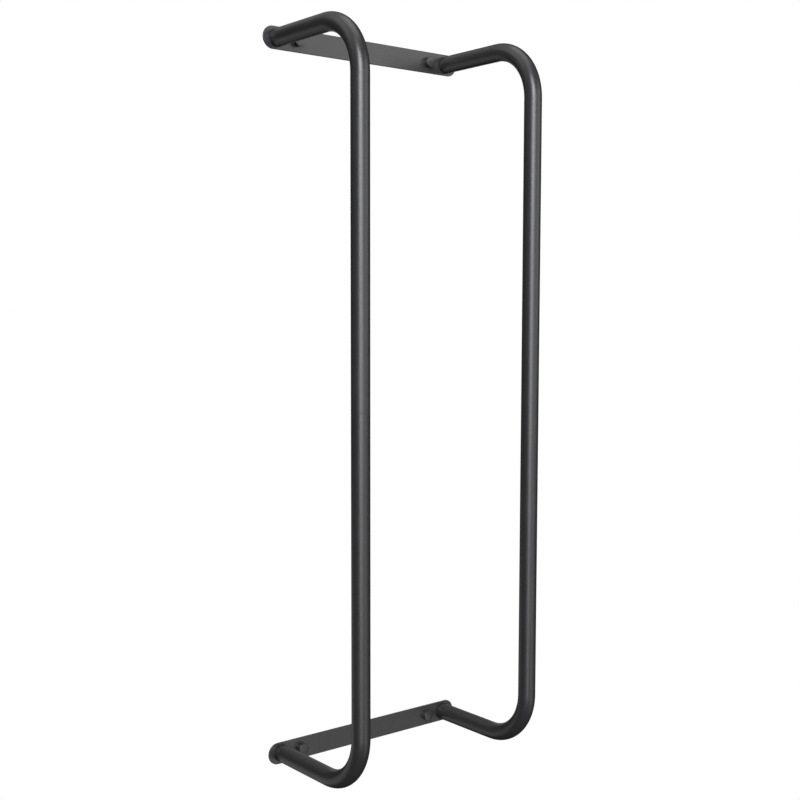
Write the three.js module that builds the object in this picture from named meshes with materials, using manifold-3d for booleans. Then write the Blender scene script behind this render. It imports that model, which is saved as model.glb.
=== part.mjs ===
// A wall-mounted storage rack: two C-shaped round tubes standing side by side off the wall,
// each welded at its top and bottom to a flat wall plate with round ends.
// Every C is two bent tubes that push together over a sleeve at half height. Two pan-head
// screws hold each plate, and a plain flat cap is pushed over each screw's head.
//
// Millimetres, +Z up. X runs along the wall, +Y points into the wall, and the wall's surface is
// the plane Y = 0. The origin is the middle of the rack on the wall's surface.

import * as THREE from 'three';
import { mergeVertices } from 'three/addons/utils/BufferGeometryUtils.js';
import Module from 'manifold-3d';

const wasm = await Module();
wasm.setup();

// ---------------------------------------------------------------- driving dimensions

const TUBE_DIAMETER = 19;
const TUBE_WALL = 1.2;
const OUTER_HEIGHT = 780;
const OUTER_DEPTH = 155;
const TUBE_SPACING = 230;
const BEND_RADIUS = 56;

const PLATE_LENGTH = 262.6;
const PLATE_HEIGHT = 23.5;
const PLATE_THICKNESS = 2;
const SCREW_INSET = 25.5;

const SCREW_HEAD_DIAMETER = 9.5;
const SCREW_HEAD_HEIGHT = 3.6;
const SCREW_HEAD_EDGE_RADIUS = 1.4;
const SCREW_SHANK_DIAMETER = 4.6;
const SCREW_LENGTH = 25;
const SCREW_POINT_LENGTH = 5;
const SCREW_HOLE_DIAMETER = 5.5;
const RECESS_SPAN = 5;
const RECESS_SLOT = 1.2;
const RECESS_DEPTH = 2.2;

const CAP_DIAMETER = 12;
const CAP_HEIGHT = 6;
const CAP_WALL = 1;
const CAP_EDGE_RADIUS = 0.5;

const WELD_THICKNESS = 1.2;

const SLEEVE_DIAMETER = 16;
const SLEEVE_WALL = 1.5;
const SLEEVE_LENGTH = 80;
const SLEEVE_CHAMFER = 0.8;

const TOUCH_GAP = 0.1;
const JOINT_GAP = 0.3;

const ROUND_SIDES = 24;
const BEND_STEPS = 12;

// ---------------------------------------------------------------- sizes worked out from them

const TUBE_RADIUS = TUBE_DIAMETER / 2;
const ARM_HEIGHT = OUTER_HEIGHT / 2 - TUBE_RADIUS;
const LEG_DISTANCE = OUTER_DEPTH - TUBE_RADIUS;
const TUBE_X = TUBE_SPACING / 2;
const SCREW_X = TUBE_X - SCREW_INSET;
const PLATE_FRONT = -PLATE_THICKNESS;
const SEAT = PLATE_FRONT - TOUCH_GAP;
const TUBE_FOOT = SEAT - WELD_THICKNESS - TOUCH_GAP;

// ---------------------------------------------------------------- materials

const powderCoat = { color: 0x242425, roughness: 0.36, metalness: 0 };
const brightZinc = { color: 0x9a9c9e, roughness: 0.35, metalness: 0.9 };

// ---------------------------------------------------------------- helpers

const rack = new THREE.Group();

function addPiece(name, geometry, finish, place = () => {}) {
	const mesh = new THREE.Mesh(geometry, new THREE.MeshStandardMaterial(finish));
	mesh.name = name;
	place(mesh);
	rack.add(mesh);
}

// A closed mesh as a solid that can be cut: shared corners merged, triangles without area dropped.
function toSolid(geometry) {
	const bare = geometry.clone();
	bare.deleteAttribute('normal');
	bare.deleteAttribute('uv');
	const merged = mergeVertices(bare);
	const kept = [];
	const corners = merged.index.array;
	for (let i = 0; i < corners.length; i += 3) {
		const [a, b, c] = [corners[i], corners[i + 1], corners[i + 2]];
		if (a !== b && b !== c && c !== a) kept.push(a, b, c);
	}
	return new wasm.Manifold(new wasm.Mesh({
		numProp: 3,
		vertProperties: merged.attributes.position.array,
		triVerts: new Uint32Array(kept),
	}));
}

function toGeometry(solid) {
	const { vertProperties, triVerts } = solid.getMesh();
	const geometry = new THREE.BufferGeometry();
	geometry.setAttribute('position', new THREE.BufferAttribute(vertProperties, 3));
	geometry.setIndex(new THREE.BufferAttribute(triVerts, 1));
	geometry.computeVertexNormals();
	return geometry;
}

// ---------------------------------------------------------------- bent tubes

// A route through stations, each a point and the direction of travel there. Equal steps along
// the curve's parameter land on the stations, so straight stretches take one step each.
class StationCurve extends THREE.Curve {

	constructor(stations) {
		super();
		this.stations = stations;
	}

	getUtoTmapping(u) {
		return u;
	}

	between(t, key, target) {
		const along = t * (this.stations.length - 1);
		const before = Math.min(Math.floor(along), this.stations.length - 2);
		const from = this.stations[before][key];
		const to = this.stations[before + 1][key];
		return target.lerpVectors(from, to, along - before);
	}

	getPoint(t, target = new THREE.Vector3()) {
		return this.between(t, 'point', target);
	}

	getTangent(t, target = new THREE.Vector3()) {
		return this.between(t, 'direction', target).normalize();
	}

}

// Half of a C: an arm straight out from the wall plate, a quarter bend, and a leg that runs
// down to the joint at half height.
function bentTubeGeometry() {
	const bendY = -(LEG_DISTANCE - BEND_RADIUS);
	const bendZ = ARM_HEIGHT - BEND_RADIUS;
	const stations = [{
		point: new THREE.Vector3(0, TUBE_FOOT, ARM_HEIGHT),
		direction: new THREE.Vector3(0, -1, 0),
	}];
	for (let step = 0; step <= BEND_STEPS; step++) {
		const turn = (step / BEND_STEPS) * Math.PI / 2;
		const [sin, cos] = [Math.sin(turn), Math.cos(turn)];
		stations.push({
			point: new THREE.Vector3(0, bendY - BEND_RADIUS * sin, bendZ + BEND_RADIUS * cos),
			direction: new THREE.Vector3(0, -cos, -sin),
		});
	}
	stations.push({
		point: new THREE.Vector3(0, -LEG_DISTANCE, JOINT_GAP / 2),
		direction: new THREE.Vector3(0, 0, -1),
	});

	const section = new THREE.Shape().absarc(0, 0, TUBE_RADIUS, 0, 2 * Math.PI);
	section.holes.push(new THREE.Path().absarc(0, 0, TUBE_RADIUS - TUBE_WALL, 0, 2 * Math.PI));
	return new THREE.ExtrudeGeometry(section, {
		steps: stations.length - 1,
		curveSegments: ROUND_SIDES / 2,
		extrudePath: new StationCurve(stations),
	});
}

// ---------------------------------------------------------------- wall plates

// A flat bar with round ends and two screw holes, lying in the plane of the wall.
function wallPlateGeometry() {
	const endRadius = PLATE_HEIGHT / 2;
	const endCentre = PLATE_LENGTH / 2 - endRadius;
	const outline = new THREE.Shape();
	outline.absarc(endCentre, 0, endRadius, -Math.PI / 2, Math.PI / 2);
	outline.absarc(-endCentre, 0, endRadius, Math.PI / 2, 3 * Math.PI / 2);
	outline.closePath();
	for (const x of [-SCREW_X, SCREW_X]) {
		outline.holes.push(new THREE.Path().absarc(x, 0, SCREW_HOLE_DIAMETER / 2, 0, 2 * Math.PI));
	}
	const geometry = new THREE.ExtrudeGeometry(outline, {
		depth: PLATE_THICKNESS,
		curveSegments: ROUND_SIDES / 2,
		bevelEnabled: false,
	});
	return geometry.rotateX(Math.PI / 2);
}

// ---------------------------------------------------------------- butt welds

// The thin ring of weld between a tube's foot and its plate, ground flush with the tube.
function weldGeometry() {
	const inner = TUBE_RADIUS - TUBE_WALL;
	const front = SEAT - WELD_THICKNESS;
	const profile = [
		new THREE.Vector2(inner, front),
		new THREE.Vector2(TUBE_RADIUS, front),
		new THREE.Vector2(TUBE_RADIUS, SEAT),
		new THREE.Vector2(inner, SEAT),
		new THREE.Vector2(inner, front),
	];
	return new THREE.LatheGeometry(profile, ROUND_SIDES);
}

// ---------------------------------------------------------------- wall screws

// A pan-head tapping screw along +Y, its head's underside on the plate, with a cross recess.
function wallScrewGeometry() {
	const top = SEAT - SCREW_HEAD_HEIGHT;
	const headRadius = SCREW_HEAD_DIAMETER / 2;
	const shankRadius = SCREW_SHANK_DIAMETER / 2;
	const edge = SCREW_HEAD_EDGE_RADIUS;
	const rim = new THREE.Path().absarc(headRadius - edge, top + edge, edge, -Math.PI / 2, 0);
	const profile = [
		new THREE.Vector2(0, top),
		...rim.getPoints(4),
		new THREE.Vector2(headRadius, SEAT),
		new THREE.Vector2(shankRadius, SEAT),
		new THREE.Vector2(shankRadius, SEAT + SCREW_LENGTH - SCREW_POINT_LENGTH),
		new THREE.Vector2(0, SEAT + SCREW_LENGTH),
	];
	let screw = toSolid(new THREE.LatheGeometry(profile, ROUND_SIDES));
	for (const turn of [0, Math.PI / 2]) {
		const slot = new THREE.BoxGeometry(RECESS_SPAN, 2 * RECESS_DEPTH, RECESS_SLOT);
		slot.rotateY(turn + Math.PI / 4);
		slot.translate(0, top, 0);
		screw = screw.subtract(toSolid(slot));
	}
	return toGeometry(screw);
}

// ---------------------------------------------------------------- screw caps

// A plain round cap about +Y with a flat face, open towards the plate, over a screw's head.
function screwCapGeometry() {
	const outer = CAP_DIAMETER / 2;
	const inner = outer - CAP_WALL;
	const face = SEAT - CAP_HEIGHT;
	const edge = CAP_EDGE_RADIUS;
	const rim = new THREE.Path().absarc(outer - edge, face + edge, edge, -Math.PI / 2, 0);
	const profile = [
		new THREE.Vector2(0, face),
		...rim.getPoints(3),
		new THREE.Vector2(outer, SEAT),
		new THREE.Vector2(inner, SEAT),
		new THREE.Vector2(inner, face + CAP_WALL),
		new THREE.Vector2(0, face + CAP_WALL),
	];
	return new THREE.LatheGeometry(profile, ROUND_SIDES);
}

// ---------------------------------------------------------------- joining sleeves

// A short thin-walled sleeve about +Y with chamfered outer ends, centred on its length.
function sleeveGeometry() {
	const outer = SLEEVE_DIAMETER / 2;
	const inner = outer - SLEEVE_WALL;
	const half = SLEEVE_LENGTH / 2;
	const profile = [
		new THREE.Vector2(inner, -half),
		new THREE.Vector2(outer - SLEEVE_CHAMFER, -half),
		new THREE.Vector2(outer, -half + SLEEVE_CHAMFER),
		new THREE.Vector2(outer, half - SLEEVE_CHAMFER),
		new THREE.Vector2(outer - SLEEVE_CHAMFER, half),
		new THREE.Vector2(inner, half),
		new THREE.Vector2(inner, -half),
	];
	return new THREE.LatheGeometry(profile, ROUND_SIDES);
}

// ---------------------------------------------------------------- the assembly

const sides = { left: -1, right: 1 };
const ends = { upper: 1, lower: -1 };

for (const [end, up] of Object.entries(ends)) {
	addPiece(`${end}_wall_plate`, wallPlateGeometry(), powderCoat, (mesh) => {
		mesh.position.z = up * ARM_HEIGHT;
	});
	for (const [side, along] of Object.entries(sides)) {
		// The lower tubes are the same bent tube turned over about the Y axis.
		addPiece(`${end}_${side}_tube`, bentTubeGeometry(), powderCoat, (mesh) => {
			mesh.position.x = along * TUBE_X;
			mesh.rotation.y = up > 0 ? 0 : Math.PI;
		});
		addPiece(`${end}_${side}_weld`, weldGeometry(), powderCoat, (mesh) => {
			mesh.position.set(along * TUBE_X, 0, up * ARM_HEIGHT);
		});
		addPiece(`${end}_${side}_wall_screw`, wallScrewGeometry(), brightZinc, (mesh) => {
			mesh.position.set(along * SCREW_X, 0, up * ARM_HEIGHT);
		});
		addPiece(`${end}_${side}_screw_cap`, screwCapGeometry(), powderCoat, (mesh) => {
			mesh.position.set(along * SCREW_X, 0, up * ARM_HEIGHT);
		});
	}
}

for (const [side, along] of Object.entries(sides)) {
	addPiece(`${side}_joining_sleeve`, sleeveGeometry(), brightZinc, (mesh) => {
		mesh.position.set(along * TUBE_X, -LEG_DISTANCE, 0);
		mesh.rotation.x = Math.PI / 2;
	});
}

export default rack;
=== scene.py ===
"""The looks of a wall-mounted storage rack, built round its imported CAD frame.

Metres, in the frame's own axes: X along the wall, +Y into the wall, +Z up. The wall's surface
would be the plane Y = 0. Bent tubes, plates, welds, caps and screws are made here as fine
meshes that stand for their CAD nodes; the sleeves hidden in the tubes stay as CAD nodes.
"""

import math

import bmesh
import bpy
from mathutils import Matrix, Vector


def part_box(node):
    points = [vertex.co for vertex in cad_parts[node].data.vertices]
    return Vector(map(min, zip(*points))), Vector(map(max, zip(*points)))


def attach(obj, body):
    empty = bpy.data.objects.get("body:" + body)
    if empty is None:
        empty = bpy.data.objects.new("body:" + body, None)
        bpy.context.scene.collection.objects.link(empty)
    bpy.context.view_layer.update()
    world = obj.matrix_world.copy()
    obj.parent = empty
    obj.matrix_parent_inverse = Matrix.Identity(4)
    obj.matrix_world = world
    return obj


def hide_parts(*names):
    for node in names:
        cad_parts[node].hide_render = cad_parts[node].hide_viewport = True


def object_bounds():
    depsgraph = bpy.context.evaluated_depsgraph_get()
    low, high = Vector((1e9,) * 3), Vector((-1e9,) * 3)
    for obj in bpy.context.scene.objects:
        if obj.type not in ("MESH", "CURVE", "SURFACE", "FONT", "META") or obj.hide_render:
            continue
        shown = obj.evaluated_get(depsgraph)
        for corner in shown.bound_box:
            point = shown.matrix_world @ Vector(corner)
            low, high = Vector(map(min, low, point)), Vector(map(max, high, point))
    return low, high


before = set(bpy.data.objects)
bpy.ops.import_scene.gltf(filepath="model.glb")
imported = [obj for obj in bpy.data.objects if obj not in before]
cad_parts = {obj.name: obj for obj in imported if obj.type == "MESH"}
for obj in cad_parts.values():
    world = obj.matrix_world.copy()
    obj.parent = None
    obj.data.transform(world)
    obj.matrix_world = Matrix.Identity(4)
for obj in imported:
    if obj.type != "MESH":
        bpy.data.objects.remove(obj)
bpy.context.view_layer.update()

MM = 0.001

# ---------------------------------------------------------------- driving sizes

TUBE_WALL = 1.2 * MM
BEND_RADIUS = 56 * MM
BEND_LENGTH = BEND_RADIUS * math.pi / 2
# SIDES count the points round a piece, and STEPS those along it or round one of its edges.
TUBE_SIDES = 96
BEND_STEPS = 48
LEG_STEPS = 6
SUPPORT_RING = 1 * MM
JOINT_ROUNDING = 0.15 * MM
JOINT_STEPS = 6
JOINT_HALF_GAP = 0.015 * MM

PLATE_EDGE_ROUNDING = 0.45 * MM
PLATE_EDGE_STEPS = 3
PLATE_ARC_STEPS = 40
PLATE_MERGE = 0.005 * MM
SCREW_HOLE_RADIUS = 2.75 * MM

# How far a CAD piece stands clear of the plate, or of the weld, that it really touches.
TOUCH_GAP = 0.1 * MM

WELD_STEPS = 240
WELD_PROUD = 0.05 * MM
WELD_EDGE = 0.25 * MM
WELD_EDGE_BEND = 0.3
# The weld's height wanders in slow and quick waves round the ring, by a share of WELD_PROUD.
WELD_SLOW_WAVES = 3
WELD_QUICK_WAVES = 11
WELD_WAVE_START = 0.2
WELD_WANDER = 0.25

CAP_SIDES = 96
CAP_WALL = 1 * MM
CAP_CROWN = 0.3 * MM
CAP_CROWN_SHARES = (0.15, 0.3, 0.45, 0.6, 0.75, 0.9)
CAP_EDGE = 0.3 * MM
CAP_EDGE_STEPS = 8
CAP_FOOT_EDGE = 0.12 * MM
CAP_FOOT_BEND = 0.15
CAP_SHARP_ANGLE = math.radians(50)

SCREW_SIDES = 48
SCREW_HEAD_HEIGHT = 3.6 * MM
SCREW_HEAD_EDGE = 1.5 * MM
SCREW_HEAD_EDGE_STEPS = 6
SCREW_HEAD_CROWN = 0.4 * MM
SCREW_CROWN_SHARES = (0.25, 0.5, 0.75)
SCREW_SEAT_EDGE = 0.1 * MM
SCREW_NECK = 0.3 * MM
SCREW_ROOT_RADIUS = 1.75 * MM
SCREW_POINT_LENGTH = 5 * MM
SCREW_SHARP_ANGLE = math.radians(38)
THREAD_RADIUS = 2.4 * MM
THREAD_PITCH = 1.6 * MM
THREAD_START = 1 * MM
THREAD_STEEPNESS = 3.2
THREAD_END_HEIGHT = 0.2
THREAD_RINGS_PER_PITCH = 10
RECESS_SPAN = 5 * MM
RECESS_SLOT = 1.1 * MM
RECESS_DEPTH = 2.2 * MM
RECESS_TURN = 0.55  # radians
# The recess cutter starts above the crown, a little wider, and narrows to its bottom.
CUTTER_ABOVE = 1 * MM
CUTTER_TOP_SHARE = 1.12
CUTTER_BOTTOM_SHARE = 0.62

FLOOR_BELOW_RACK = 0.75
FLOOR_SIZE = 14

# ---------------------------------------------------------------- lights

LIGHTS_AIM = Vector((0, -0.1, 0))
WORLD_FILL = 0.03

COOL_WHITE = (0.965, 0.975, 1.0)
WHITE = (1.0, 1.0, 1.0)

# name, colour, azimuth and elevation in degrees, distance, width, height, watts
SOFT_BOXES = (
    ("key", COOL_WHITE, -32, 10, 4, 3.2, 2.4, 124),
    ("key_high", COOL_WHITE, -34, 28, 4, 1.6, 2.0, 149),
    ("key_low", COOL_WHITE, -34, -12, 4, 1.6, 2.0, 29),
    ("front", WHITE, 5, 0, 4, 2.4, 2.4, 25),
    ("right", WHITE, 40, 15, 4, 2.4, 2.4, 40),
    ("right_low", WHITE, 25, -25, 4, 2.4, 2.4, 18),
    ("top", WHITE, 0, 88, 2, 1.5, 1.5, 14),
    ("left_high", WHITE, -120, 45, 4, 2.4, 2.4, 25),
    ("left_back_low", WHITE, -150, -30, 4, 2.4, 2.4, 10),
    ("back_high", WHITE, 180, 45, 4, 2.4, 2.4, 8),
    ("back_low", WHITE, 180, -30, 4, 2.4, 2.4, 5),
    ("right_back", WHITE, 150, 10, 4, 2.4, 2.4, 9),
)

# ---------------------------------------------------------------- camera

CAMERA_AZIMUTH = -38.53
CAMERA_ELEVATION = 5.05
CAMERA_ROLL = 0.064
CAMERA_DISTANCE = 1.411
CAMERA_TARGET = Vector((0.0433, 0, -0.0257))
CAMERA_LENS = 55.47
CAMERA_SENSOR = 36
CAMERA_SHIFT = (0.0065, 0.0254)


def direction(azimuth, elevation):
    """The unit vector from the rack towards an azimuth and elevation in degrees. Azimuths
    turn from the front (0) towards the right (90)."""
    around, above = math.radians(azimuth), math.radians(elevation)
    return Vector((
        math.sin(around) * math.cos(above),
        -math.cos(around) * math.cos(above),
        math.sin(above),
    ))


def make_camera():
    """The camera stands front left of the rack, a little above its middle."""
    back = direction(CAMERA_AZIMUTH, CAMERA_ELEVATION)
    data = bpy.data.cameras.new("camera")
    data.lens = CAMERA_LENS
    data.sensor_width = CAMERA_SENSOR
    data.shift_x, data.shift_y = CAMERA_SHIFT
    camera = bpy.data.objects.new("camera", data)
    bpy.context.scene.collection.objects.link(camera)
    camera.location = CAMERA_TARGET + back * CAMERA_DISTANCE
    turn = (-back).to_track_quat("-Z", "Y").to_matrix().to_4x4()
    roll = Matrix.Rotation(math.radians(CAMERA_ROLL), 4, "Z")
    camera.rotation_euler = (turn @ roll).to_euler()
    bpy.context.scene.camera = camera


# ---------------------------------------------------------------- node helpers

NOISE_LOW = 0.35
NOISE_HIGH = 0.65


def new_material(name):
    """An empty node material with its output: (material, nodes, links, output)."""
    material = bpy.data.materials.new(name)
    material.use_nodes = True
    nodes = material.node_tree.nodes
    links = material.node_tree.links
    nodes.clear()
    output = nodes.new("ShaderNodeOutputMaterial")
    return material, nodes, links, output


def noise(nodes, links, coordinates, scale, detail, roughness=0.5):
    """A noise texture on those coordinates; its scale is in cells per metre."""
    texture = nodes.new("ShaderNodeTexNoise")
    texture.inputs["Scale"].default_value = scale
    texture.inputs["Detail"].default_value = detail
    texture.inputs["Roughness"].default_value = roughness
    links.new(coordinates, texture.inputs["Vector"])
    return texture.outputs["Fac"]


def map_range(nodes, links, value, low, high):
    """A noise's usual span, carried onto low to high."""
    node = nodes.new("ShaderNodeMapRange")
    node.inputs["From Min"].default_value = NOISE_LOW
    node.inputs["From Max"].default_value = NOISE_HIGH
    node.inputs["To Min"].default_value = low
    node.inputs["To Max"].default_value = high
    links.new(value, node.inputs["Value"])
    return node.outputs["Result"]


def bump(nodes, links, height, distance, strength, under=None):
    """A bump of that height map, on top of another one if given."""
    node = nodes.new("ShaderNodeBump")
    node.inputs["Distance"].default_value = distance
    node.inputs["Strength"].default_value = strength
    links.new(height, node.inputs["Height"])
    if under is not None:
        links.new(under, node.inputs["Normal"])
    return node.outputs["Normal"]


def colour_mix(nodes, links, factor, dark, light):
    """A colour between the dark and the light one, by factor."""
    node = nodes.new("ShaderNodeMix")
    node.data_type = "RGBA"
    node.inputs["A"].default_value = (*dark, 1)
    node.inputs["B"].default_value = (*light, 1)
    links.new(factor, node.inputs["Factor"])
    return node.outputs["Result"]


# ---------------------------------------------------------------- materials

COAT_COLOUR = (0.018, 0.018, 0.0185)
COAT_IOR = 1.5
COAT_BLOTCH_SCALE = 38
COAT_BLOTCH_TONE = 0.1
COAT_BLOTCH_ROUGHNESS = 0.02
COAT_PEEL_SCALE = 620
COAT_PEEL_HEIGHT = 0.05 * MM
COAT_PEEL_STRENGTH = 0.5
COAT_GRAIN_SCALE = 2600
COAT_GRAIN_HEIGHT = 0.02 * MM
COAT_GRAIN_STRENGTH = 0.7

ZINC_DARK = (0.5, 0.51, 0.52)
ZINC_LIGHT = (0.62, 0.63, 0.63)
ZINC_ROUGHNESS = (0.25, 0.4)
ZINC_CLOUD_SCALE = 240
ZINC_GRAIN_SCALE = 3800
ZINC_GRAIN_HEIGHT = 0.01 * MM
ZINC_GRAIN_STRENGTH = 0.6


def powder_coat(name, painted_shading_tone, roughness):
    """Satin powder coat: faint orange peel, finer grain, and a slightly uneven gloss. Its tone
    scales the colour, which makes lighter and darker copies of the one coat as painted light and
    painted shade.
    """
    material, nodes, links, output = new_material(name)
    shader = nodes.new("ShaderNodeBsdfPrincipled")
    place = nodes.new("ShaderNodeTexCoord").outputs["Object"]
    blotch = noise(nodes, links, place, COAT_BLOTCH_SCALE, detail=3)
    peel = noise(nodes, links, place, COAT_PEEL_SCALE, detail=1)
    grain = noise(nodes, links, place, COAT_GRAIN_SCALE, detail=2, roughness=0.6)
    dark = [part * painted_shading_tone * (1 - COAT_BLOTCH_TONE) for part in COAT_COLOUR]
    light = [part * painted_shading_tone * (1 + COAT_BLOTCH_TONE) for part in COAT_COLOUR]
    links.new(colour_mix(nodes, links, blotch, dark, light), shader.inputs["Base Color"])
    low, high = roughness - COAT_BLOTCH_ROUGHNESS, roughness + COAT_BLOTCH_ROUGHNESS
    links.new(map_range(nodes, links, blotch, low, high), shader.inputs["Roughness"])
    soft = bump(nodes, links, peel, COAT_PEEL_HEIGHT, COAT_PEEL_STRENGTH)
    fine = bump(nodes, links, grain, COAT_GRAIN_HEIGHT, COAT_GRAIN_STRENGTH, under=soft)
    links.new(fine, shader.inputs["Normal"])
    shader.inputs["IOR"].default_value = COAT_IOR
    links.new(shader.outputs["BSDF"], output.inputs["Surface"])
    return material


def zinc_plate(name):
    """Bright zinc plate: metal with cloudy patches and a fine grain."""
    material, nodes, links, output = new_material(name)
    shader = nodes.new("ShaderNodeBsdfPrincipled")
    place = nodes.new("ShaderNodeTexCoord").outputs["Object"]
    cloud = noise(nodes, links, place, ZINC_CLOUD_SCALE, detail=4)
    grain = noise(nodes, links, place, ZINC_GRAIN_SCALE, detail=2)
    tint = colour_mix(nodes, links, cloud, ZINC_DARK, ZINC_LIGHT)
    links.new(tint, shader.inputs["Base Color"])
    links.new(map_range(nodes, links, cloud, *ZINC_ROUGHNESS), shader.inputs["Roughness"])
    fine = bump(nodes, links, grain, ZINC_GRAIN_HEIGHT, ZINC_GRAIN_STRENGTH)
    links.new(fine, shader.inputs["Normal"])
    shader.inputs["Metallic"].default_value = 1
    links.new(shader.outputs["BSDF"], output.inputs["Surface"])
    return material


# Copies of the one coat: the lower half's is a little darker, as painted shade, and the flat
# pieces' a little lighter, as painted light, and smoother.
COATS = {
    "upper": powder_coat("powder_coat_upper", 1.0, 0.36),
    "lower": powder_coat("powder_coat_lower_painted_shade", 0.92, 0.36),
    "flat": powder_coat("powder_coat_flat_painted_light", 1.25, 0.28),
}
BRIGHT_ZINC = zinc_plate("bright_zinc")

# ---------------------------------------------------------------- mesh helpers


def face_outward(mesh, in_triangles=False):
    """Turns every face of a closed mesh outward, and splits it in triangles if asked."""
    shaped = bmesh.new()
    shaped.from_mesh(mesh)
    if in_triangles:
        bmesh.ops.triangulate(shaped, faces=shaped.faces)
    bmesh.ops.recalc_face_normals(shaped, faces=shaped.faces)
    shaped.to_mesh(mesh)
    shaped.free()


def finish_piece(name, mesh, material, node):
    """Makes a mesh a smooth piece that rides on the rack and stands for a CAD node."""
    face_outward(mesh)
    for face in mesh.polygons:
        face.use_smooth = True
    mesh.materials.clear()
    mesh.materials.append(material)
    piece = bpy.data.objects.new(name, mesh)
    bpy.context.scene.collection.objects.link(piece)
    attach(piece, "root")
    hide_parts(node)
    return piece


def add_piece(name, points, faces, material, node):
    """A piece made of those points and faces."""
    mesh = bpy.data.meshes.new(name)
    mesh.from_pydata(points, [], faces)
    mesh.validate()
    return finish_piece(name, mesh, material, node)


def ring_faces(rings, sides, closed):
    """Quads between neighbouring rings of points, and from the last to the first if closed."""
    faces = []
    for ring in range(rings if closed else rings - 1):
        after = (ring + 1) % rings
        for side in range(sides):
            beside = (side + 1) % sides
            faces.append((
                ring * sides + side,
                ring * sides + beside,
                after * sides + beside,
                after * sides + side,
            ))
    return faces


def crowned(face, crown, reach, shares):
    """Rings (y, radius) over a domed face, at those shares of the way from its middle, where
    it touches y = face, to its reach, where it has dropped by the crown."""
    return [(face + crown * share ** 2, reach * share) for share in shares]


def quarter_round(face, radius, edge, steps):
    """Rings (y, radius) round the front edge of a round piece, from its face to its side."""
    return [
        (
            face + edge * (1 - math.cos(math.pi / 2 * step / steps)),
            radius - edge * (1 - math.sin(math.pi / 2 * step / steps)),
        )
        for step in range(steps + 1)
    ]


def no_swell(y, radius, turn):
    """Adds nothing to a turned piece's radius."""
    return 0


def turned(profile, sides, centre, first, last, swell=no_swell):
    """Points and faces of a piece turned about the Y axis through a centre, from rings of
    (y, radius) and the two points, at y = first and y = last, where it closes on the axis.
    The swell adds to the radius at any y, radius and share of a turn."""
    points = []
    for y, radius in profile:
        for side in range(sides):
            out = radius + swell(y, radius, side / sides)
            angle = 2 * math.pi * side / sides
            points.append((centre.x + out * math.cos(angle), y, centre.z + out * math.sin(angle)))
    faces = ring_faces(len(profile), sides, closed=False)
    points += [(centre.x, first, centre.z), (centre.x, last, centre.z)]
    first_point = len(profile) * sides
    end_ring = first_point - sides
    for side in range(sides):
        beside = (side + 1) % sides
        faces.append((first_point, beside, side))
        faces.append((first_point + 1, end_ring + side, end_ring + beside))
    return points, faces


# ---------------------------------------------------------------- bent tubes


def tube_centre(distance, arm, leg_y, arm_z):
    """The upper tube's centreline at a distance from its foot, in the plane X = 0, as
    (y, z, angle), where angle turns from 0 along the arm to a quarter turn down the leg."""
    if distance <= arm:
        return leg_y + BEND_RADIUS + arm - distance, arm_z, 0.0
    if distance >= arm + BEND_LENGTH:
        down = distance - arm - BEND_LENGTH
        return leg_y, arm_z - BEND_RADIUS - down, math.pi / 2
    angle = (distance - arm) / BEND_RADIUS
    y = leg_y + BEND_RADIUS - BEND_RADIUS * math.sin(angle)
    z = arm_z - BEND_RADIUS + BEND_RADIUS * math.cos(angle)
    return y, z, angle


def tube_stops(length, arm):
    """Distances along the outside of the tube: sparse on the straights, close in the bend,
    with a support just before each change so that the shading stays true."""
    leg_start = arm + BEND_LENGTH
    leg_end = length - JOINT_ROUNDING
    leg = leg_end - leg_start
    stops = [0, SUPPORT_RING, arm / 2, arm - SUPPORT_RING]
    stops += [arm + BEND_LENGTH * step / BEND_STEPS for step in range(BEND_STEPS + 1)]
    stops += [leg_start + SUPPORT_RING]
    stops += [leg_start + leg * step / LEG_STEPS for step in range(1, LEG_STEPS)]
    stops += [leg_end - SUPPORT_RING]
    return stops


def make_tube(node, end):
    """A hollow bent tube with a softly rounded edge at the joint."""
    low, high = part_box(node)
    up = 1 if end == "upper" else -1
    radius = (high.x - low.x) / 2
    centre_x = (high.x + low.x) / 2
    leg_y = low.y + radius
    arm_z = (high.z if up > 0 else -low.z) - radius
    arm = high.y - leg_y - BEND_RADIUS
    length = arm + BEND_LENGTH + arm_z - BEND_RADIUS - JOINT_HALF_GAP

    stops = tube_stops(length, arm)
    profile = [(stop, radius) for stop in stops]
    for step in range(JOINT_STEPS + 1):
        angle = math.pi / 2 * step / JOINT_STEPS
        profile.append((
            length - JOINT_ROUNDING + JOINT_ROUNDING * math.sin(angle),
            radius - JOINT_ROUNDING + JOINT_ROUNDING * math.cos(angle),
        ))
    profile += [(stop, radius - TUBE_WALL) for stop in [length, *reversed(stops)]]

    points = []
    for distance, ring_radius in profile:
        y, z, angle = tube_centre(distance, arm, leg_y, arm_z)
        for side in range(TUBE_SIDES):
            around = 2 * math.pi * side / TUBE_SIDES
            out = ring_radius * math.cos(around)
            points.append((
                centre_x + ring_radius * math.sin(around),
                y - out * math.sin(angle),
                up * (z + out * math.cos(angle)),
            ))
    faces = ring_faces(len(profile), TUBE_SIDES, closed=True)
    add_piece(f"{node}_shape", points, faces, COATS[end], node)


# ---------------------------------------------------------------- wall plates


def circle_points(centre, radius, start, turn, count):
    """Points (x, y) of an arc from its start angle, without the point that ends its turn."""
    return [
        (
            centre[0] + radius * math.cos(start + turn * step / count),
            centre[1] + radius * math.sin(start + turn * step / count),
        )
        for step in range(count)
    ]


def add_loop(curve, loop):
    """A closed straight-sided spline through the loop's points."""
    spline = curve.splines.new("POLY")
    spline.points.add(len(loop) - 1)
    for point, (x, y) in zip(spline.points, loop):
        point.co = (x, y, 0, 1)
    spline.use_cyclic_u = True


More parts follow.
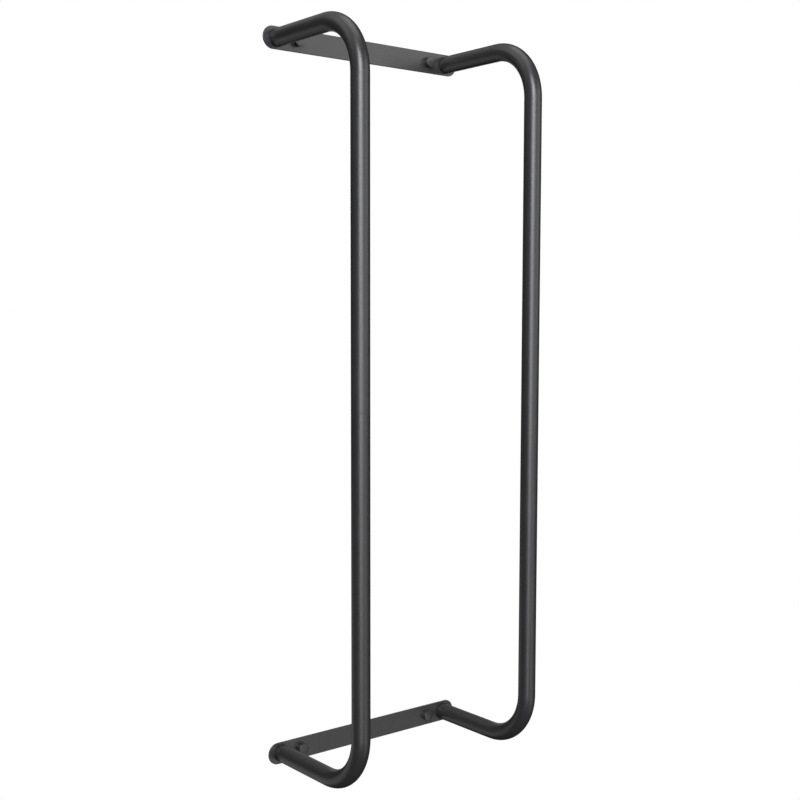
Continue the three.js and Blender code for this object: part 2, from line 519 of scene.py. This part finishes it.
def make_plate(node, end):
    """A flat bar with round ends, rounded edges and two screw holes."""
    low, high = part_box(node)
    thickness = high.y - low.y
    end_radius = (high.z - low.z) / 2
    end_x = high.x - end_radius
    centre_z = (high.z + low.z) / 2
    curve = bpy.data.curves.new(node, "CURVE")
    curve.dimensions = "2D"
    curve.fill_mode = "BOTH"
    curve.extrude = thickness / 2 - PLATE_EDGE_ROUNDING
    curve.bevel_depth = PLATE_EDGE_ROUNDING
    curve.bevel_resolution = PLATE_EDGE_STEPS
    curve.offset = -PLATE_EDGE_ROUNDING
    quarter = math.pi / 2
    outline = circle_points((end_x, 0), end_radius, -quarter, math.pi, PLATE_ARC_STEPS)
    outline += [(end_x, end_radius)]
    outline += circle_points((-end_x, 0), end_radius, quarter, math.pi, PLATE_ARC_STEPS)
    outline += [(-end_x, -end_radius)]
    add_loop(curve, outline)
    for side in ("left", "right"):
        screw_low, screw_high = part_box(f"{end}_{side}_wall_screw")
        hole = ((screw_low.x + screw_high.x) / 2, 0)
        add_loop(curve, circle_points(hole, SCREW_HOLE_RADIUS, 0, 2 * math.pi, PLATE_ARC_STEPS))
    draft = bpy.data.objects.new(f"{node}_draft", curve)
    mesh = bpy.data.meshes.new_from_object(draft)
    bpy.data.objects.remove(draft)
    place = Matrix.Translation((0, (low.y + high.y) / 2, centre_z))
    mesh.transform(place @ Matrix.Rotation(quarter, 4, "X"))
    shaped = bmesh.new()
    shaped.from_mesh(mesh)
    bmesh.ops.remove_doubles(shaped, verts=shaped.verts, dist=PLATE_MERGE)
    shaped.to_mesh(mesh)
    shaped.free()
    name = f"{node}_shape"
    mesh.name = name
    piece = finish_piece(name, mesh, COATS["flat"], node)
    piece.modifiers.new("flat faces stay flat", "WEIGHTED_NORMAL")


# ---------------------------------------------------------------- butt welds


def make_weld(node, end):
    """The ring of weld at a tube's foot, ground nearly flush with the tube."""
    low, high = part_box(node)
    centre = (low + high) / 2
    outer = (high.x - low.x) / 2
    inner = outer - TUBE_WALL
    front = low.y - TOUCH_GAP - WELD_EDGE
    back = high.y + TOUCH_GAP
    points = []
    for step in range(WELD_STEPS):
        turn = 2 * math.pi * step / WELD_STEPS
        slow = math.sin(WELD_SLOW_WAVES * turn + 2 * math.pi * WELD_WAVE_START)
        quick = math.sin(WELD_QUICK_WAVES * turn)
        proud = outer + WELD_PROUD * (1 + WELD_WANDER * (slow + quick))
        section = (
            (inner, back),
            (inner, front),
            (outer - WELD_PROUD, front),
            (outer, front + WELD_EDGE_BEND * WELD_EDGE),
            (proud, front + WELD_EDGE),
            (proud, (front + back) / 2),
            (proud, back),
        )
        for out, y in section:
            points.append((centre.x + out * math.cos(turn), y, centre.z + out * math.sin(turn)))
    faces = ring_faces(WELD_STEPS, len(points) // WELD_STEPS, closed=True)
    add_piece(f"{node}_shape", points, faces, COATS[end], node)


# ---------------------------------------------------------------- screw caps


def make_cap(node):
    """A plain round cap with a barely crowned face, open towards the plate."""
    low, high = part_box(node)
    centre = (low + high) / 2
    outer = (high.x - low.x) / 2
    inner = outer - CAP_WALL
    face, foot = low.y, high.y + TOUCH_GAP
    profile = crowned(face, CAP_CROWN, outer - CAP_EDGE, CAP_CROWN_SHARES)
    profile += quarter_round(face + CAP_CROWN, outer, CAP_EDGE, CAP_EDGE_STEPS)
    profile += [
        (face + CAP_CROWN + 2 * CAP_EDGE, outer),
        (foot - 2 * CAP_FOOT_EDGE, outer),
        (foot - CAP_FOOT_EDGE, outer - CAP_FOOT_BEND * CAP_FOOT_EDGE),
        (foot, outer - CAP_FOOT_EDGE),
        (foot, inner),
        (face + CAP_WALL, inner),
        (face + CAP_WALL, inner / 2),
    ]
    points, faces = turned(profile, CAP_SIDES, centre, face, face + CAP_WALL)
    cap = add_piece(f"{node}_shape", points, faces, COATS["flat"], node)
    cap.data.set_sharp_from_angle(angle=CAP_SHARP_ANGLE)


# ---------------------------------------------------------------- wall screws


def thread_swell(seat, tip):
    """A function that says how far the thread stands out of the shank at any place."""
    start = seat + THREAD_START
    height = THREAD_RADIUS - SCREW_ROOT_RADIUS

    def swell(y, radius, turn):
        if y < start or radius > SCREW_ROOT_RADIUS:
            return 0.0
        phase = (y / THREAD_PITCH - turn) % 1
        crest = max(0.0, 1 - abs(phase - 0.5) * THREAD_STEEPNESS)
        run_in = min(1.0, (y - start) / THREAD_PITCH)
        run_out = min(1.0, THREAD_END_HEIGHT + (tip - y) / SCREW_POINT_LENGTH)
        return height * crest * run_in * run_out

    return swell


def screw_profile(seat, top, tip, head_radius):
    """Rings of (y, radius) from the head's crown to the point."""
    edge_top = top + SCREW_HEAD_CROWN
    neck_end = seat + SCREW_NECK
    profile = crowned(top, SCREW_HEAD_CROWN, head_radius - SCREW_HEAD_EDGE, SCREW_CROWN_SHARES)
    profile += quarter_round(edge_top, head_radius, SCREW_HEAD_EDGE, SCREW_HEAD_EDGE_STEPS)
    profile += [
        (seat - SCREW_SEAT_EDGE, head_radius),
        (seat, head_radius - SCREW_SEAT_EDGE),
        (seat, SCREW_ROOT_RADIUS + SCREW_NECK),
        (neck_end, SCREW_ROOT_RADIUS),
    ]
    shank = tip - neck_end
    rings = round(shank / THREAD_PITCH * THREAD_RINGS_PER_PITCH)
    for ring in range(1, rings):
        y = neck_end + shank * ring / rings
        profile.append((y, SCREW_ROOT_RADIUS * min(1.0, (tip - y) / SCREW_POINT_LENGTH)))
    return profile


def cross_cutter(top):
    """A tapered cross standing on the head's crown, to cut the driver recess."""
    levels = (
        (top - CUTTER_ABOVE, CUTTER_TOP_SHARE),
        (top + RECESS_DEPTH, CUTTER_BOTTOM_SHARE),
    )
    shaped = bmesh.new()
    for turn in (RECESS_TURN, RECESS_TURN + math.pi / 2):
        matrix = Matrix.Rotation(turn, 4, "Y")
        corners = []
        for y, share in levels:
            half_span = RECESS_SPAN / 2 * share
            half_slot = RECESS_SLOT / 2 * (1 + share) / 2
            for x, z in ((-1, -1), (1, -1), (1, 1), (-1, 1)):
                corner = matrix @ Vector((x * half_span, y, z * half_slot))
                corners.append(shaped.verts.new(corner))
        near, far = corners[:4], corners[4:]
        shaped.faces.new(near)
        shaped.faces.new(reversed(far))
        for side in range(4):
            after = (side + 1) % 4
            shaped.faces.new((near[after], near[side], far[side], far[after]))
    bmesh.ops.recalc_face_normals(shaped, faces=shaped.faces)
    mesh = bpy.data.meshes.new("cutter")
    shaped.to_mesh(mesh)
    shaped.free()
    cutter = bpy.data.objects.new("cutter", mesh)
    bpy.context.scene.collection.objects.link(cutter)
    return cutter


def make_screw(node):
    """A pan-head tapping screw with a cross recess and a cut thread."""
    low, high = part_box(node)
    head_radius = (high.x - low.x) / 2
    centre = (low + high) / 2
    top, tip = low.y, high.y
    seat = top + SCREW_HEAD_HEIGHT
    profile = screw_profile(seat, top, tip, head_radius)
    swell = thread_swell(seat, tip)
    points, faces = turned(profile, SCREW_SIDES, Vector((0, 0, 0)), top, tip, swell)
    mesh = bpy.data.meshes.new(f"{node}_draft")
    mesh.from_pydata(points, [], faces)
    mesh.validate()
    face_outward(mesh, in_triangles=True)
    draft = bpy.data.objects.new(f"{node}_draft", mesh)
    bpy.context.scene.collection.objects.link(draft)
    cutter = cross_cutter(top)
    cut = draft.modifiers.new("recess", "BOOLEAN")
    cut.operation = "DIFFERENCE"
    cut.solver = "EXACT"
    cut.use_self = True
    cut.object = cutter
    bpy.context.view_layer.update()
    graph = bpy.context.evaluated_depsgraph_get()
    final = bpy.data.meshes.new_from_object(draft.evaluated_get(graph))
    bpy.data.objects.remove(draft)
    bpy.data.objects.remove(cutter)
    final.transform(Matrix.Translation((centre.x, 0, centre.z)))
    name = f"{node}_shape"
    final.name = name
    finish_piece(name, final, BRIGHT_ZINC, node)
    final.set_sharp_from_angle(angle=SCREW_SHARP_ANGLE)


# ---------------------------------------------------------------- studio


def soft_box(name, colour, azimuth, elevation, distance, width, height, power):
    """A soft box that faces the rack from that direction, its power in watts."""
    outward = direction(azimuth, elevation)
    data = bpy.data.lights.new(name, "AREA")
    data.shape = "RECTANGLE"
    data.size = width
    data.size_y = height
    data.energy = power
    data.color = colour
    light = bpy.data.objects.new(name, data)
    bpy.context.scene.collection.objects.link(light)
    light.location = LIGHTS_AIM + outward * distance
    light.rotation_euler = (-outward).to_track_quat("-Z", "Y").to_euler()
    light.visible_camera = False


def make_floor():
    """A plain white floor below the rack, seen by the camera only."""
    material, nodes, links, output = new_material("pale_floor")
    shader = nodes.new("ShaderNodeEmission")
    shader.inputs["Color"].default_value = (1, 1, 1, 1)
    shader.inputs["Strength"].default_value = 1.0
    links.new(shader.outputs["Emission"], output.inputs["Surface"])
    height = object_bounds()[0].z - FLOOR_BELOW_RACK
    half = FLOOR_SIZE / 2
    mesh = bpy.data.meshes.new("floor")
    corners = [(x * half, y * half, height) for x, y in ((-1, -1), (1, -1), (1, 1), (-1, 1))]
    mesh.from_pydata(corners, [], [(0, 1, 2, 3)])
    mesh.materials.append(material)
    floor = bpy.data.objects.new("floor", mesh)
    bpy.context.scene.collection.objects.link(floor)
    floor.visible_diffuse = False
    floor.visible_glossy = False
    floor.visible_shadow = False


def make_world():
    """White to the camera, a dim even grey as light."""
    world = bpy.data.worlds.new("studio")
    bpy.context.scene.world = world
    world.use_nodes = True
    nodes = world.node_tree.nodes
    links = world.node_tree.links
    nodes.clear()
    backdrop = nodes.new("ShaderNodeBackground")
    backdrop.inputs["Strength"].default_value = 1.0
    backdrop.inputs["Color"].default_value = (1, 1, 1, 1)
    fill = nodes.new("ShaderNodeBackground")
    fill.inputs["Color"].default_value = (1, 1, 1, 1)
    fill.inputs["Strength"].default_value = WORLD_FILL
    seen = nodes.new("ShaderNodeLightPath").outputs["Is Camera Ray"]
    mix = nodes.new("ShaderNodeMixShader")
    output = nodes.new("ShaderNodeOutputWorld")
    links.new(seen, mix.inputs[0])
    links.new(fill.outputs["Background"], mix.inputs[1])
    links.new(backdrop.outputs["Background"], mix.inputs[2])
    links.new(mix.outputs["Shader"], output.inputs["Surface"])


# ---------------------------------------------------------------- the scene

make_camera()
for end in ("upper", "lower"):
    make_plate(f"{end}_wall_plate", end)
    for side in ("left", "right"):
        make_tube(f"{end}_{side}_tube", end)
        make_weld(f"{end}_{side}_weld", end)
        make_cap(f"{end}_{side}_screw_cap")
        make_screw(f"{end}_{side}_wall_screw")
for side in ("left", "right"):
    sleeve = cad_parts[f"{side}_joining_sleeve"]
    sleeve.data.materials.clear()
    sleeve.data.materials.append(BRIGHT_ZINC)

make_world()
make_floor()
for box in SOFT_BOXES:
    soft_box(*box)
bpy.context.scene.view_settings.view_transform = "Standard"
